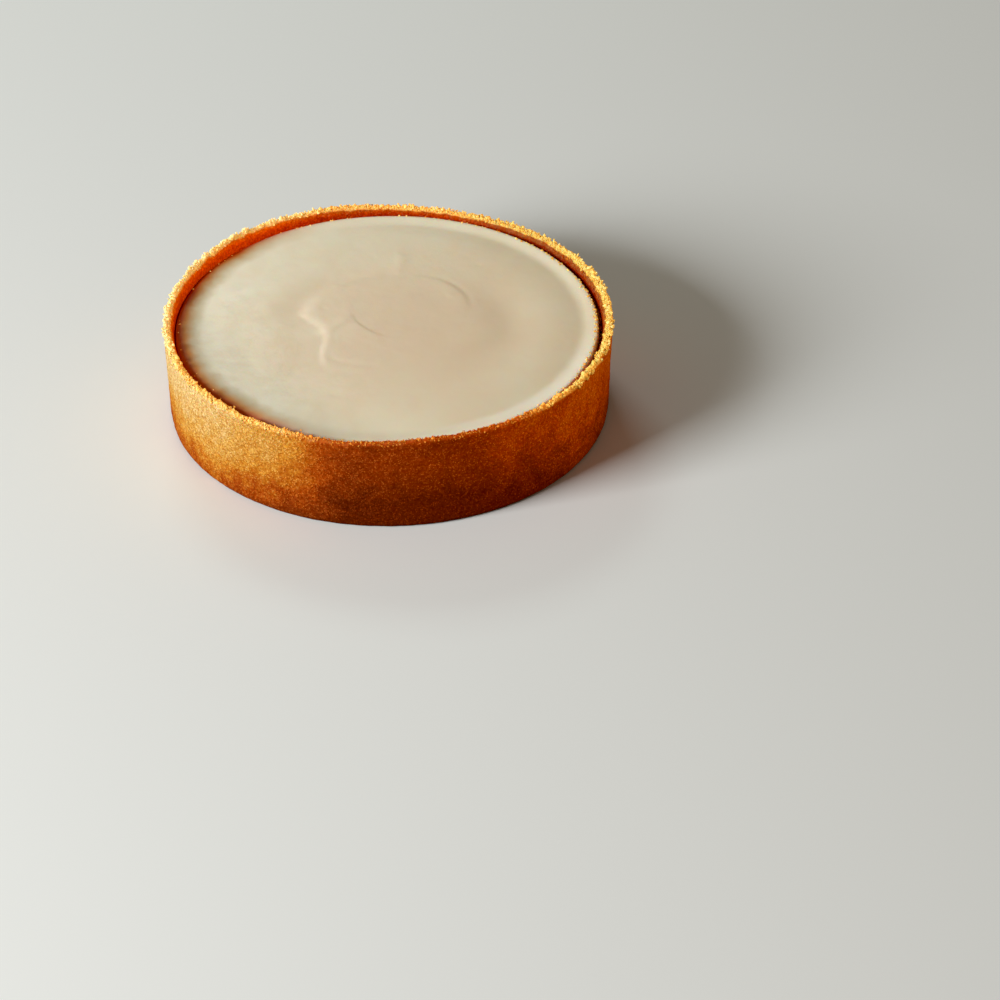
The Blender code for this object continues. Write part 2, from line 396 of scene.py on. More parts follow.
def top_relief(X, Y):
    """Height of the topping above FILL_TOP, in millimetres, at points in millimetres."""
    r = np.hypot(X, Y)
    P = np.stack([X, Y, np.zeros_like(X)], -1)
    gap = np.abs((np.degrees(np.arctan2(Y, X)) - 5.0 + 180.0) % 360.0 - 180.0)
    # towards the edge it sags and then turns up in a lip, most of all on the right
    lip = 0.16 + 0.84 * (1.0 - smooth(62.0, 118.0, gap))
    z = lip * (-0.72 * np.clip((r - 77.0) / 20.5, 0.0, 1.0) ** 2.4 + 0.72 * smooth(98.2, 106.2, r))
    qx, qy = X - RING_C[0], Y - RING_C[1]
    q = np.hypot(qx, qy)
    phi = np.degrees(np.arctan2(qy, qx)) % 360.0
    ph = np.where(phi > 300, phi - 360, phi)
    rows = np.array(SWIRL, float)
    even = np.arange(-60, 300)
    kernel = np.exp(-0.5 * (np.arange(-24, 25) / 6.0) ** 2)
    kernel /= kernel.sum()
    tip = bell(ph - 200.0, 20.0)
    out = []
    for i in (1, 2, 3, 4):
        line = np.interp(even, rows[:, 0], rows[:, i])
        soft = np.convolve(np.concatenate([line[-24:], line, line[:24]]), kernel, "valid")
        out.append(lerp(np.interp(ph, even, soft, period=360), np.interp(ph, even, line, period=360), tip))
    C, A, W_in, W_out = out
    off = q - C - 0.85 * W_in + 0.6 * fnoise(P, 18.0, 201, 2)
    z = z - A * bell(off, np.where(off < 0, W_in, W_out))
    # the turned ring: a small step, down outwards on the right and down inwards on the left
    arc = lambda mid, half: bell((phi - mid + 180) % 360 - 180, half)
    on_right, on_left = arc(34, 28), arc(221, 22)
    z = z + 0.16 * on_right * (smooth(RING_R - 17, RING_R - 2.4, q) - smooth(RING_R - 2.2, RING_R + 1.1, q))
    z = z - 0.05 * on_right * bell(q - RING_R - 1.2, 1.5)
    z = z + 0.12 * on_left * (smooth(RING_R - 0.9, RING_R + 0.9, q) - smooth(RING_R + 1.2, RING_R + 14, q))
    # the forked crease
    main = ((-40.0, 1.6), (-33.2, -5.0), (-30.2, -11.5), (-29.4, -17.0), (-30.6, -22.5),
            (-31.6, -28.0), (-31.0, -35.5), (-29.0, -42.0), (-26.3, -48.0))
    d, t = polyline_distance(X + 0.5 * vnoise(P, 5.0, 211), Y + 0.5 * vnoise(P, 5.0, 212), main)
    z = z + 0.03 * bell(d, 1.6) * smooth(0.0, 0.25, t) * (1 - 0.7 * smooth(0.75, 1.0, t))
    d, t = polyline_distance(X, Y, ((-33.0, -9.0), (-28.5, -4.0), (-24.0, 1.0), (-20.8, 5.5), (-18.6, 9.5)))
    z = z + 0.15 * bell(d, 2.6) * (1 - smooth(0.6, 1.0, t) * 0.8)
    # smaller marks round it
    d, t = polyline_distance(X, Y, ((3.6, 50.0), (4.6, 57.0), (5.0, 65.0)))
    z = z + 0.10 * bell(d, 2.6)
    d, t = polyline_distance(X, Y, ((-30.0, -31.5), (-24.0, -36.0), (-17.0, -38.4), (-8.0, -39.4)))
    z = z - 0.05 * bell(d, 1.8)
    d, t = polyline_distance(X, Y, ((-46.0, -46.0), (-48.5, -50.0), (-49.5, -55.0)))
    z = z - 0.06 * bell(d, 1.6)
    e = np.hypot((X + 57) / 11.0, (Y + 31) / 20.0)
    z = z + 0.13 * (1 - smooth(0.25, 1.35, e))
    d, t = polyline_distance(X, Y, ((-40.0, -58.0), (-30.0, -64.0), (-18.0, -67.0)))
    z = z - 0.05 * bell(d, 3.0)
    for px, py, w, h in ((-34.0, 14.0, 1.5, -0.07), (31.5, 27.0, 1.6, 0.07), (10.5, -75.0, 1.8, 0.06),
                         (17.0, -74.5, 1.5, -0.05), (-43.5, -31.0, 1.4, -0.05), (45.5, 57.0, 1.3, -0.05)):
        z = z + h * bell(np.hypot(X - px, Y - py), w)
    # slow unevenness all over
    z = z + 0.12 * fnoise(P, 48.0, 221, 2) + 0.022 * fnoise(P, 13.0, 223, 2) + 0.006 * vnoise(P, 3.2, 225)
    return z


def build_filling():
    cols = 640
    q = np.concatenate([np.linspace(1.2, 66, 104), np.linspace(67.2, 105.6, 33)])
    ang = np.arange(cols) / cols * 2 * np.pi
    cx, cy = np.cos(ang)[None, :], np.sin(ang)[None, :]
    s = (1.0 - smooth(62.0, 97.0, q))[:, None]
    X = q[:, None] * cx + RING_C[0] * s
    Y = q[:, None] * cy + RING_C[1] * s
    Z = FILL_TOP / MM + top_relief(X.ravel(), Y.ravel()).reshape(X.shape)
    # the edge rolls over and goes down beside the crust; the rest is hidden in the cup
    right = facing_right(np.degrees(ang))
    back, out = 1.1 * right, 1.9 * right
    edge_in = np.stack([cx[0] * 105.6, cy[0] * 105.6, np.zeros(cols)], -1)
    uneven = 0.35 * fnoise(edge_in, 16.0, 231, 2) + 0.12 * fnoise(edge_in, 5.0, 233, 2)
    pull = smooth(90.0, 105.6, q)[:, None] * (back * 0.9 - out)[None, :]
    X, Y = X - pull * cx, Y - pull * cy
    parts = [np.stack([X, Y, Z], -1)]
    zc = Z[-1]
    for i in range(1, 8):
        a = math.radians(90.0 - 90.0 * i / 7)
        r = 105.6 + out - 0.9 * back + uneven * math.sin(math.pi * i / 7) * 0.5 + (3.3 - out - 0.1 * back) * math.cos(a)
        z = zc - 3.6 * (1 - math.sin(a))
        parts.append(np.stack([r * cx[0], r * cy[0], z], -1)[None])
    r = 108.9 - back
    parts.append(np.stack([r * cx[0], r * cy[0], np.full(cols, 41.0)], -1)[None])
    for r, z in ((108.9, 38.0), (108.9, 12.0), (105.6, 8.35), (60.0, 8.35)):
        parts.append(np.stack([r * cx[0], r * cy[0], np.full(cols, z)], -1)[None])
    grid = np.concatenate(parts)
    rows = len(grid)
    top_pole = [RING_C[0], RING_C[1], FILL_TOP / MM + float(top_relief(np.array([RING_C[0]]), np.array([RING_C[1]]))[0])]
    verts = np.concatenate([grid.reshape(-1, 3), [top_pole, [0, 0, 8.35]]]) * MM
    n = rows * cols
    quads = ring_faces(rows, cols)[:, ::-1]
    faces = [quads, fan(n, 0, cols, False), fan(n + 1, (rows - 1) * cols, cols, True)]
    ob = mesh_object("cream_filling_smooth", verts, faces)
    return ob


# ------------------------------------------------------------------ materials
class Nodes:
    """A small helper that writes a material's node tree."""

    def __init__(self, name):
        self.mat = bpy.data.materials.new(name)
        self.mat.use_nodes = True
        self.tree = self.mat.node_tree
        self.shader = self.tree.nodes["Principled BSDF"]
        self.coords = self.tree.nodes.new("ShaderNodeTexCoord").outputs["Object"]

    def node(self, kind, **props):
        n = self.tree.nodes.new(kind)
        for k, v in props.items():
            setattr(n, k, v)
        return n

    def link(self, a, b):
        self.tree.links.new(a, b)

    def put(self, socket, value):
        if isinstance(value, bpy.types.NodeSocket):
            self.link(value, socket)
        elif isinstance(value, (tuple, list)) and len(value) == 3 and socket.type == "RGBA":
            socket.default_value = (*value, 1.0)
        else:
            socket.default_value = value

    def math(self, op, a, b=0.0, c=None, clamp=False):
        n = self.node("ShaderNodeMath", operation=op, use_clamp=clamp)
        self.put(n.inputs[0], a)
        self.put(n.inputs[1], b)
        if c is not None:
            self.put(n.inputs[2], c)
        return n.outputs[0]

    def noise(self, scale, detail=2.0, rough=0.5, distortion=0.0, coords=None):
        n = self.node("ShaderNodeTexNoise")
        self.link(coords or self.coords, n.inputs["Vector"])
        n.inputs["Scale"].default_value = scale
        n.inputs["Detail"].default_value = detail
        n.inputs["Roughness"].default_value = rough
        n.inputs["Distortion"].default_value = distortion
        return n.outputs["Fac"]

    def voronoi(self, scale, output="Distance", feature="F1", randomness=1.0, coords=None):
        n = self.node("ShaderNodeTexVoronoi", feature=feature)
        self.link(coords or self.coords, n.inputs["Vector"])
        n.inputs["Scale"].default_value = scale
        n.inputs["Randomness"].default_value = randomness
        return n.outputs[output]

    def span(self, value, a, b, c=0.0, d=1.0, kind="SMOOTHSTEP"):
        n = self.node("ShaderNodeMapRange", interpolation_type=kind, clamp=True) if kind != "LINEAR" else \
            self.node("ShaderNodeMapRange", clamp=True)
        self.put(n.inputs["Value"], value)
        for k, v in (("From Min", a), ("From Max", b), ("To Min", c), ("To Max", d)):
            n.inputs[k].default_value = v
        return n.outputs["Result"]

    def ramp(self, value, stops):
        n = self.node("ShaderNodeValToRGB")
        self.put(n.inputs["Fac"], value)
        el = n.color_ramp.elements
        while len(el) > 1:
            el.remove(el[-1])
        for i, (pos, col) in enumerate(stops):
            e = el[0] if i == 0 else el.new(pos)
            e.position = pos
            e.color = (*col, 1.0)
        return n.outputs["Color"]

    def mix(self, fac, a, b, blend="MIX"):
        n = self.node("ShaderNodeMix", data_type="RGBA", blend_type=blend)
        self.put(n.inputs[0], fac)
        self.put(n.inputs[6], a)
        self.put(n.inputs[7], b)
        return n.outputs[2]

    def attribute(self, name):
        return self.node("ShaderNodeAttribute", attribute_name=name).outputs["Fac"]

    def bump(self, height, strength, distance, normal=None):
        n = self.node("ShaderNodeBump")
        n.inputs["Strength"].default_value = strength
        n.inputs["Distance"].default_value = distance
        self.put(n.inputs["Height"], height)
        if normal is not None:
            self.link(normal, n.inputs["Normal"])
        return n.outputs["Normal"]


def srgb(r, g, b):
    f = lambda c: (c / 255.0 / 12.92) if c / 255.0 <= 0.04045 else ((c / 255.0 + 0.055) / 1.055) ** 2.4
    return (f(r), f(g), f(b))


def toast_and_shade(m):
    """How dark the crust is painted, 0 golden to 1 dark: painted shade on its right and front side, away from the main
    light, darker towards the foot, and soft patches."""
    sep = m.node("ShaderNodeSeparateXYZ")
    m.link(m.coords, sep.inputs[0])
    x, y, z = sep.outputs
    # direction of most darkening, painted shade on the side away from the light, about the cake's axis
    a = math.radians(-66.0)
    side = m.math("ADD", m.math("MULTIPLY", x, math.cos(a) / CAKE_R), m.math("MULTIPLY", y, math.sin(a) / CAKE_R))
    t = m.span(side, 0.31, 1.0, 0.0, 0.82)
    e = math.radians(345.0)
    right = m.math("ADD", m.math("MULTIPLY", x, math.cos(e) / CAKE_R), m.math("MULTIPLY", y, math.sin(e) / CAKE_R))
    t = m.math("MAXIMUM", t, m.span(right, 0.78, 0.96, 0.0, 0.68))
    b = math.radians(-87.0)
    front = m.math("ADD", m.math("MULTIPLY", x, math.cos(b) / CAKE_R), m.math("MULTIPLY", y, math.sin(b) / CAKE_R))
    t = m.math("ADD", t, m.span(front, 0.88, 1.0, 0.0, 0.23))
    low = m.math("MULTIPLY", m.math("POWER", m.span(z, 0.0, 0.048, 1.0, 0.0, "LINEAR"), 1.9), 0.88)
    # the foot is darkened less on the right and where the golden side begins
    for deg, width, share in ((330.0, 0.86, 0.32), (252.0, 0.95, 0.28)):
        c = math.radians(deg)
        way = m.math("ADD", m.math("MULTIPLY", x, math.cos(c) / CAKE_R), m.math("MULTIPLY", y, math.sin(c) / CAKE_R))
        low = m.math("MULTIPLY", low, m.span(way, width, 1.0, 1.0, 1.0 - share))
    patch = m.span(m.noise(38.0, 3.0, 0.55), 0.30, 0.70, -0.08, 0.08)
    stain_and_rim_shadow = m.math("MULTIPLY", m.span(m.noise(115.0, 3.0, 0.6), 0.35, 0.68, -0.10, 0.12), m.span(z, 0.010, 0.046, 1.0, 0.45))
    total = m.math("ADD", m.math("ADD", t, low), m.math("ADD", patch, stain_and_rim_shadow))
    return m.math("MULTIPLY", total, 0.72, clamp=True)


# crust colours from golden to dark red-brown; the dark end is partly painted shade
TOAST_AND_SHADE = ((0.00, srgb(246, 218, 152)), (0.14, srgb(236, 190, 100)), (0.29, srgb(226, 160, 61)), (0.43, srgb(204, 121, 37)),
         (0.58, srgb(180, 85, 26)), (0.72, srgb(147, 65, 23)), (1.00, srgb(102, 42, 18)))
SPECK = ((0.00, srgb(255, 232, 176)), (0.29, srgb(252, 198, 108)), (0.58, srgb(222, 134, 52)), (1.00, srgb(158, 70, 24)))


def crust_material():
    m = Nodes("crumb_crust_look")
    # how dark the crust is painted, with painted shade on its right and front side
    t = toast_and_shade(m)
    base = m.ramp(t, TOAST_AND_SHADE)
    loose, depth = m.attribute("loose"), m.attribute("depth")
    # the baked inner face: amber near the crest, deepening to red-brown where it meets the filling, partly its baked
    # colour and partly painted shade down into the crevice
    inner = m.ramp(m.math("ADD", depth, m.span(m.noise(240.0, 3.0, 0.6), 0.3, 0.7, -0.10, 0.10), clamp=True),
                   ((0.0, srgb(252, 192, 88)), (0.35, srgb(250, 148, 44)), (0.7, srgb(246, 108, 24)), (1.0, srgb(210, 62, 12))))
    base = m.mix(m.span(depth, 0.02, 0.16), base, inner)
    sep = m.node("ShaderNodeSeparateXYZ")
    m.link(m.coords, sep.inputs[0])

    def towards(deg):
        a = math.radians(deg)
        return m.math("ADD", m.math("MULTIPLY", sep.outputs[0], math.cos(a) / CAKE_R),
                      m.math("MULTIPLY", sep.outputs[1], math.sin(a) / CAKE_R))
    # painted shade: darker red-brown low on the inner face at the back
    rear = m.math("MULTIPLY", m.span(towards(80.0), 0.58, 0.92, 0.0, 0.72), m.span(depth, 0.06, 0.30))
    base = m.mix(rear, base, srgb(146, 50, 10))
    # painted shade: deep red in the crevice at the foot of the inner face on the right
    shade = m.math("MULTIPLY", m.span(towards(22.0), 0.56, 0.90, 0.0, 0.85), m.span(depth, 0.16, 0.42))
    base = m.mix(shade, base, srgb(134, 34, 6))
    # painted glow: vivid orange on the inner face at the back-left, standing in for light shining through the rim
    amber = m.math("MULTIPLY", m.span(towards(150.0), 0.80, 0.98, 0.0, 0.50), m.span(depth, 0.20, 0.45))
    base = m.mix(amber, base, srgb(255, 124, 26))
    # fine grain: pale specks and dark pores, a millimetre and less
    warp = m.noise(1100.0, 2.0, 0.6)
    pale = m.span(m.voronoi(1000.0, "Distance"), 0.20, 0.52, 1.0, 0.0)
    pale = m.math("MULTIPLY", pale, m.span(m.noise(620.0, 2.0, 0.6), 0.42, 0.60))
    pores = m.span(m.noise(860.0, 3.0, 0.65), 0.36, 0.48, 1.0, 0.0)
    grain = m.span(m.noise(690.0, 4.0, 0.72), 0.34, 0.66)
    dark = m.mix(1.0, base, (0.62, 0.42, 0.22), "MULTIPLY")
    col = m.mix(grain, dark, base)
    col = m.mix(m.math("MULTIPLY", pores, 0.85), col, dark)
    # pressed crumbs of two or three millimetres, some deeper baked than others
    lumps = m.span(m.noise(400.0, 3.0, 0.7), 0.38, 0.60, 1.0, 0.0)
    col = m.mix(m.math("MULTIPLY", lumps, 0.34), col, dark)
    light = m.mix(0.62, base, m.ramp(t, SPECK))
    pale = m.math("MULTIPLY", pale, m.span(depth, 0.04, 0.26, 1.0, 0.10))
    col = m.mix(m.math("MULTIPLY", pale, 0.95), col, light)
    # loose crumb along the rim is the colour of its inside, painted paler on the left as a highlight where the light
    # falls, and browner along the front as painted shade
    fresh_and_painted_light = m.ramp(m.span(m.noise(260.0, 3.0, 0.6), 0.30, 0.70), ((0.0, srgb(226, 167, 78)), (0.5, srgb(243, 199, 108)),
                                                                 (1.0, srgb(250, 222, 146))))
    fresh_and_painted_light = m.mix(m.span(towards(156.0), 0.60, 0.92, 0.0, 0.80), fresh_and_painted_light, srgb(255, 234, 172))
    yellow = m.mix(1.0, fresh_and_painted_light, (0.86, 0.95, 0.84), "MULTIPLY")
    fresh_and_painted_light = m.mix(m.span(towards(14.0), 0.30, 0.80), fresh_and_painted_light, yellow)
    fresh_and_painted_light = m.mix(m.span(towards(281.0), 0.74, 0.95, 0.0, 0.94), fresh_and_painted_light, srgb(160, 62, 14))
    col = m.mix(m.math("MULTIPLY", loose, m.span(depth, 0.14, 0.40, 0.90, 0.10)), col, fresh_and_painted_light)
    m.link(col, m.shader.inputs["Base Color"])
    rough = m.span(m.noise(500.0, 2.0, 0.5), 0.3, 0.7, 0.70, 0.92)
    m.link(rough, m.shader.inputs["Roughness"])
    m.shader.inputs["Specular IOR Level"].default_value = 0.03
    m.link(m.span(sep.outputs[2], 0.036, 0.048, 0.12, 0.50), m.shader.inputs["Subsurface Weight"])
    m.shader.inputs["Subsurface Radius"].default_value = (1.0, 0.34, 0.10)
    m.shader.inputs["Subsurface Scale"].default_value = 0.0040
    h = m.math("ADD", m.math("MULTIPLY", grain, 0.6), m.math("MULTIPLY", pale, 0.5))
    h = m.math("SUBTRACT", h, m.math("MULTIPLY", pores, 0.6))
    h = m.math("ADD", h, m.math("MULTIPLY", warp, 0.4))
    m.link(m.bump(h, 0.80, 0.00045), m.shader.inputs["Normal"])
    return m.mat


def crumb_material():
    m = Nodes("loose_crumb_look")
    tint = m.attribute("tint")
    v = m.math("ADD", tint, m.span(m.noise(700.0, 3.0, 0.6), 0.3, 0.7, -0.08, 0.08), clamp=True)
    col = m.ramp(v, ((0.0, srgb(136, 44, 10)), (0.14, srgb(176, 76, 16)), (0.35, srgb(221, 152, 60)),
                     (0.60, srgb(240, 197, 108)), (0.80, srgb(246, 217, 136)), (1.0, srgb(252, 234, 176))))
    # yellower along the right of the rim
    sep = m.node("ShaderNodeSeparateXYZ")
    m.link(m.coords, sep.inputs[0])
    a = math.radians(14.0)
    right = m.math("ADD", m.math("MULTIPLY", sep.outputs[0], math.cos(a) / CAKE_R),
                   m.math("MULTIPLY", sep.outputs[1], math.sin(a) / CAKE_R))
    yellow = m.mix(1.0, col, (0.86, 0.95, 0.84), "MULTIPLY")
    col = m.mix(m.span(right, 0.30, 0.80), col, yellow)
    m.link(col, m.shader.inputs["Base Color"])
    m.link(m.span(m.noise(520.0, 2.0, 0.5), 0.3, 0.7, 0.50, 0.82), m.shader.inputs["Roughness"])
    m.shader.inputs["Specular IOR Level"].default_value = 0.05
    m.shader.inputs["Subsurface Weight"].default_value = 0.25
    m.shader.inputs["Subsurface Radius"].default_value = (1.0, 0.55, 0.25)
    m.shader.inputs["Subsurface Scale"].default_value = 0.0007
    m.link(m.bump(m.noise(1500.0, 3.0, 0.65), 0.3, 0.00020), m.shader.inputs["Normal"])
    return m.mat


def cream_material():
    m = Nodes("cream_filling_look")
    sep = m.node("ShaderNodeSeparateXYZ")
    m.link(m.coords, sep.inputs[0])
    # paler towards the edge, partly painted sheen, and a touch browner and pinker in the middle
    flat = m.node("ShaderNodeCombineXYZ")
    m.link(m.math("SUBTRACT", sep.outputs[0], 0.010), flat.inputs[0])
    m.link(m.math("SUBTRACT", sep.outputs[1], -0.007), flat.inputs[1])
    length = m.node("ShaderNodeVectorMath", operation="LENGTH")
    m.link(flat.outputs[0], length.inputs[0])
    d = m.math("ADD", length.outputs["Value"], m.span(m.noise(26.0, 3.0, 0.55), 0.25, 0.75, -0.016, 0.016))
    col = m.ramp(m.span(d, 0.010, 0.108, 0.0, 1.0, "LINEAR"),
                 ((0.0, srgb(232, 211, 180)), (0.50, srgb(235, 218, 187)), (0.78, srgb(236, 225, 196)),
                  (1.0, srgb(237, 231, 206))))
    mottle = m.span(m.noise(70.0, 4.0, 0.6), 0.35, 0.68)
    col = m.mix(m.math("MULTIPLY", mottle, 0.10), col, srgb(238, 226, 198))
    # painted shadow of the rim over the last few millimetres beside the crust, warmed by light from the crust, most of
    # all on the left
    rad = m.node("ShaderNodeVectorMath", operation="LENGTH")
    plan = m.node("ShaderNodeCombineXYZ")
    m.link(sep.outputs[0], plan.inputs[0])
    m.link(sep.outputs[1], plan.inputs[1])
    m.link(plan.outputs[0], rad.inputs[0])

    def towards(deg):
        a = math.radians(deg)
        return m.math("ADD", m.math("MULTIPLY", sep.outputs[0], math.cos(a) / 0.105),
                      m.math("MULTIPLY", sep.outputs[1], math.sin(a) / 0.105))
    wide = m.math("ADD", rad.outputs["Value"], m.span(m.noise(60.0, 3.0, 0.6), 0.3, 0.7, -0.0008, 0.0008))
    # painted highlight: whiter along the raised lip on the right, where it faces the light
    lip = m.math("MULTIPLY", m.span(towards(318.0), 0.72, 0.96), m.span(wide, 0.0955, 0.1000, 0.0, 0.45))
    col = m.mix(lip, col, srgb(255, 250, 236))
    stain_and_rim_shadow = m.ramp(m.span(wide, 0.0930, 0.1070, 0.0, 1.0, "LINEAR"),
                   ((0.00, srgb(237, 231, 206)), (0.15, srgb(232, 223, 196)), (0.36, srgb(213, 199, 163)),
                    (0.50, srgb(203, 183, 138)), (0.65, srgb(196, 156, 106)), (0.79, srgb(192, 130, 68)),
                    (0.92, srgb(184, 78, 26)), (1.00, srgb(170, 56, 10))))
    # and lighter caramel where the rim shades it, on the near left
    soft = m.ramp(m.span(wide, 0.0930, 0.1070, 0.0, 1.0, "LINEAR"),
                  ((0.00, srgb(237, 231, 206)), (0.15, srgb(233, 224, 197)), (0.36, srgb(217, 203, 166)),
                   (0.50, srgb(213, 190, 144)), (0.65, srgb(222, 176, 118)), (0.79, srgb(236, 162, 86)),
                   (0.92, srgb(230, 116, 42)), (1.00, srgb(208, 82, 20))))
    stain_and_rim_shadow = m.mix(m.span(towards(214.0), 0.70, 0.94), stain_and_rim_shadow, soft)
    here = m.math("MULTIPLY", m.span(towards(184.0), 0.22, 0.74), m.span(wide, 0.0925, 0.0955))
    col = m.mix(here, col, stain_and_rim_shadow)
    # painted shade: greyer and darker across the near left of the top, out towards the edge
    near_left_shade = m.math("ADD", m.span(rad.outputs["Value"], 0.055, 0.085, 0.0, 0.18), m.span(rad.outputs["Value"], 0.085, 0.096, 0.0, 0.06))
    near_left_shade = m.math("MULTIPLY", m.span(towards(220.0), 0.52, 0.86), near_left_shade)
    col = m.mix(near_left_shade, col, srgb(150, 138, 104))
    thin = m.math("MULTIPLY", here, m.span(wide, 0.0985, 0.1045))
    m.link(m.math("SUBTRACT", 0.85, m.math("MULTIPLY", thin, 0.70)), m.shader.inputs["Subsurface Weight"])
    m.link(col, m.shader.inputs["Base Color"])
    m.link(m.span(m.noise(120.0, 3.0, 0.6), 0.3, 0.7, 0.34, 0.42), m.shader.inputs["Roughness"])
    m.link(m.math("SUBTRACT", 0.5, m.math("MULTIPLY", thin, 0.48)), m.shader.inputs["Specular IOR Level"])
    m.shader.inputs["Subsurface Radius"].default_value = (1.0, 0.62, 0.36)
    m.shader.inputs["Subsurface Scale"].default_value = 0.0018
    fine = m.math("ADD", m.math("MULTIPLY", m.noise(160.0, 3.0, 0.5), 0.8), m.math("MULTIPLY", m.noise(900.0, 2.0, 0.5), 0.08))
    m.link(m.bump(fine, 0.12, 0.0006), m.shader.inputs["Normal"])
    return m.mat


# ------------------------------------------------------------------ build
rng = np.random.default_rng(20)
crust, grid, keys, loose, depth = build_crust()
crust.data.materials.append(crust_material())
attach(crust, "root")
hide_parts("crumb_crust")

filling = build_filling()
filling.data.materials.append(cream_material())
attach(filling, "root")
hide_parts("cream_filling")

crumb_look = crumb_material()
row_h = keys[:, 1]
FIRST = int(np.argmax(row_h > 47.0))          # outer shoulder of the rim
TOP = int(np.argmax(row_h))
LAST = int(np.nonzero(row_h > 43.5)[0][-1])


def clump(deg):
    p = np.stack([114.3 * np.cos(np.radians(deg)), 114.3 * np.sin(np.radians(deg)), np.zeros(len(deg))], -1)
    return 0.5 + 0.5 * fnoise(p, 5.5, 301, 2) / 0.75


def rim_points(n, outer_bias):
    """Rows and columns on the rim: mostly the crest and the slope inside it."""
    col = rng.uniform(0, CRUST_COLS, n)
    u = rng.uniform(0, 1, n)
    row = np.where(rng.uniform(0, 1, n) < outer_bias,
                   TOP - (TOP - FIRST) * u ** 1.6, TOP + (LAST - TOP) * u ** 1.15)
    return row, col


def zone(field, row, col):
    """A value of the crust's grid at fractional rows and columns, from the nearest point."""
    return field[np.clip(np.rint(row).astype(int), 0, field.shape[0] - 1), np.rint(col).astype(int) % CRUST_COLS]


def front_band(col):
    """1 along the front of the rim, where its crumbs are smaller and painted browner as shade, 0 elsewhere."""
    return smooth(0.74, 0.96, np.cos(np.radians(col / CRUST_COLS * 360.0 - 281.0)))


def painted_light_tone(col):
    """How much paler or browner the loose crumbs are painted round the rim: painted highlight on the left and right
    where the light falls, painted shade along the front.
    """
    deg = col / CRUST_COLS * 360.0
    paler = smooth(0.60, 0.92, np.cos(np.radians(deg - 156.0))) + 0.34 * smooth(0.72, 0.95, np.cos(np.radians(deg - 12.0)))
    return 0.32 * paler - 0.44 * front_band(col)


def high(row, col):
    """1 near the crest of the rim, falling towards the baked inner face, which stays nearly clear of crumbs."""
    return 1.0 - 0.88 * smooth(0.14, 0.40, zone(depth, row, col))


# larger crumbs, clumped along the crest, with more of them on its outer edge
row, col = rim_points(4200, 0.42)
chance = np.clip(clump(col / CRUST_COLS * 360.0) * 1.3, 0.12, 1.0) * zone(loose, row, col) ** 1.5
chance = chance * high(row, col) * (1.0 - 0.78 * smooth(0.62, 0.88, np.cos(np.radians(col / CRUST_COLS * 360.0 - 262.0))))
keep = rng.uniform(0, 1, len(col)) < chance
row, col = row[keep][:1350], col[keep][:1350]
p, n = on_grid(grid, row, col)
size = rng.lognormal(math.log(0.80), 0.32, len(p)).clip(0.45, 1.5) * MM * (1.0 - 0.30 * front_band(col))
near = bell(row - TOP, 5.0)
p = p + n * (size * rng.uniform(-0.55, 0.15, len(p)))[:, None]
p[:, 2] += size * near * rng.uniform(0.0, 0.6, len(p))
# darker the deeper they sit down the inner face, partly painted shade as on the face itself
tint = 0.66 - 0.80 * zone(depth, row, col) + rng.uniform(-0.18, 0.16, len(p)) + painted_light_tone(col)
# and little pointed heaps that give the outer edge its teeth
tooth = rng.uniform(0, CRUST_COLS, 400)
tooth = tooth[rng.uniform(0, 1, len(tooth)) < np.clip(clump(tooth / CRUST_COLS * 360.0 + 40.0) * 1.5, 0.15, 1.0)][:250]
tall = rng.uniform(0.52, 0.98, len(tooth)) * (1.0 - 0.60 * front_band(tooth)) * MM
lean = rng.uniform(-0.5, 0.5, len(tooth))
seat = TOP - rng.uniform(0.5, 4.5, len(tooth))
for share, width in ((0.0, 1.05), (0.70, 0.86), (1.25, 0.64), (1.60, 0.42)):
    tp, tn = on_grid(grid, seat, tooth + lean * share)
    tn = tn * 0.55 + np.array([0.0, 0.0, 0.70])
    p = np.concatenate([p, tp + tn * (tall * share)[:, None]])
    size = np.concatenate([size, tall * width * rng.uniform(0.85, 1.15, len(tooth)) + 0.10 * MM])
    tint = np.concatenate([tint, 0.72 + rng.uniform(-0.10, 0.12, len(tooth)) + painted_light_tone(tooth)])
big = scatter("rim_crumbs", rng, p, size, 1, True, tint)
big.data.materials.append(crumb_look)

# fine crumbs over the same places, and stray ones that stand up along the outer edge
row, col = rim_points(14000, 0.40)
keep = rng.uniform(0, 1, len(col)) < zone(loose, row, col) ** 2.0 * high(row, col)
row, col = row[keep][:6400], col[keep][:6400]
p, n = on_grid(grid, row, col)
size = rng.lognormal(math.log(0.38), 0.28, len(p)).clip(0.2, 0.7) * MM
p = p + n * (size * rng.uniform(-0.3, 0.6, len(p)))[:, None]
stray = (rng.uniform(0, 1, len(p)) < 0.30) * bell(row - TOP + 3.0, 4.0) * clump(col / CRUST_COLS * 360.0 + 40.0)
size = size * (1.0 + 0.25 * stray)
p = p + n * (1.15 * MM * stray * rng.uniform(0.2, 1.0, len(p)))[:, None]
p[:, 2] += 0.9 * MM * stray * rng.uniform(0, 1, len(p))
size = size * (1.0 - 0.22 * front_band(col))
# darker the deeper they sit down the inner face, partly painted shade as on the face itself
tint = 0.62 - 0.90 * zone(depth, row, col) + rng.uniform(-0.18, 0.16, len(p)) + painted_light_tone(col)
tint = tint + np.where(rng.uniform(0, 1, len(p)) < 0.12, 0.26 * front_band(col), 0.0)
fine = scatter("fine_crumbs", rng, p, size, 0, True, tint)
fine.data.materials.append(crumb_look)

